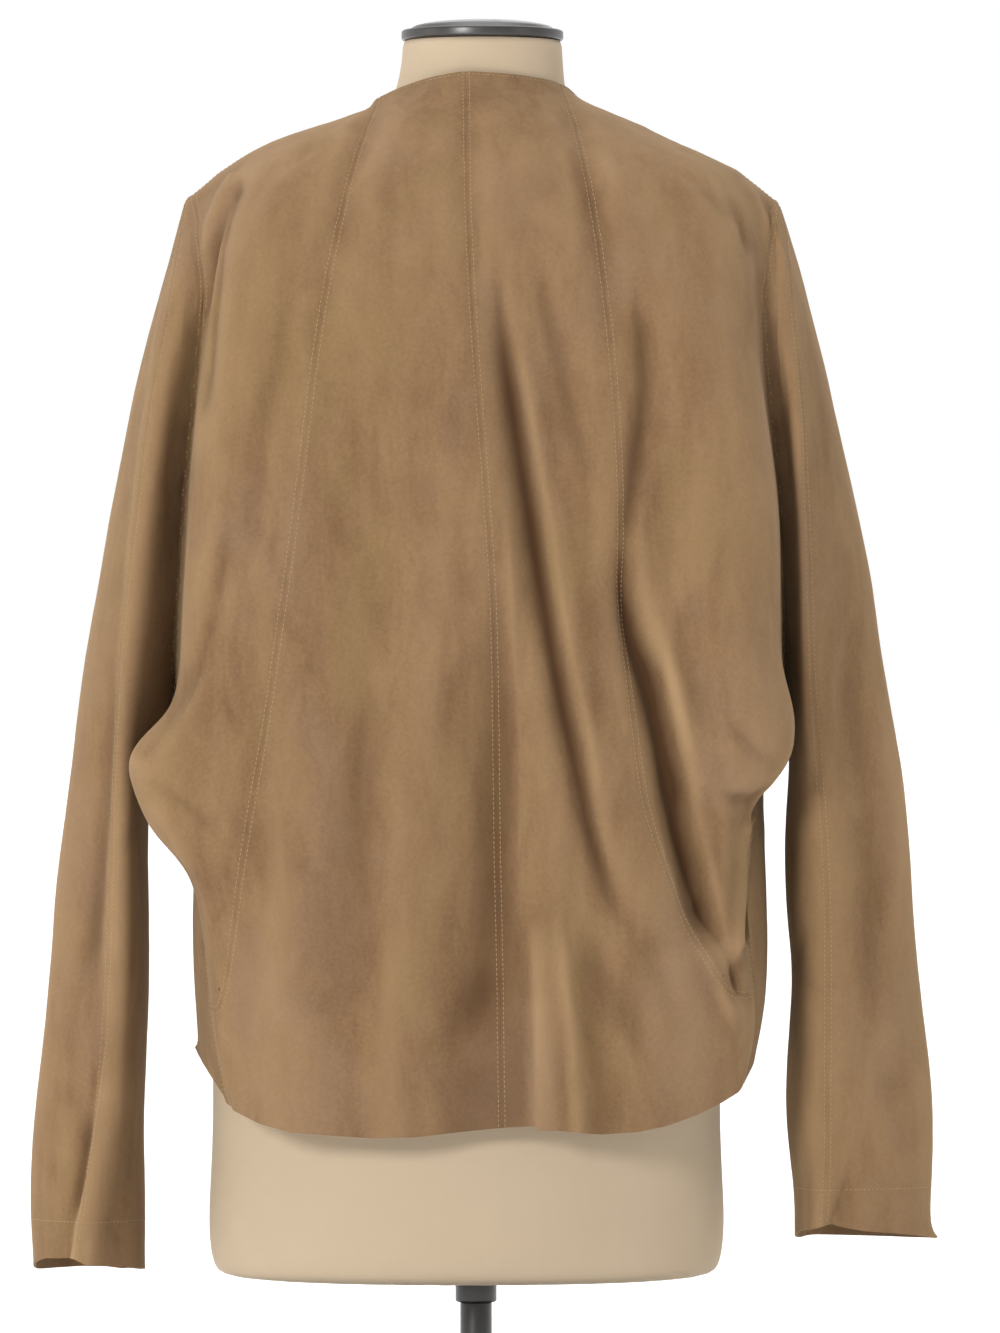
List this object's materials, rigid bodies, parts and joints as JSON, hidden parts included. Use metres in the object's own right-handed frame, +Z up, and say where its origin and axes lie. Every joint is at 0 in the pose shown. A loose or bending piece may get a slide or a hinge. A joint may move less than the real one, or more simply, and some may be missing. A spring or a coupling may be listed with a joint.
{
  "type": "suede jacket on a limbless dress form",
  "caption": "Collarless suede jacket with batwing underarms and long sleeves hanging empty at its sides, resting on a fabric-covered limbless dress form on a post and round base.",
  "frame": {"origin": "centre of the stand's base, on its underside", "axes": "+Z up, +Y the way the wearer faces, +X towards the wearer's right"},
  "size_m": [0.5786, 0.31, 0.9033],
  "materials": {
    "suede": "tan suede, matt, with a short soft nap",
    "jersey": "cream knitted cover, matt",
    "dark_metal": "black paint, satin"
  },
  "bodies": {
    "root": {"left_centre_back": "suede", "left_side_back": "suede", "left_front": "suede", "left_outer_sleeve": "suede", "left_under_sleeve": "suede", "right_centre_back": "suede", "right_side_back": "suede", "right_front": "suede", "right_outer_sleeve": "suede", "right_under_sleeve": "suede", "form_torso": "jersey", "neck_cap": "dark_metal", "post_collar": "dark_metal", "post": "dark_metal", "round_base": "dark_metal"}
  },
  "joints": []
}
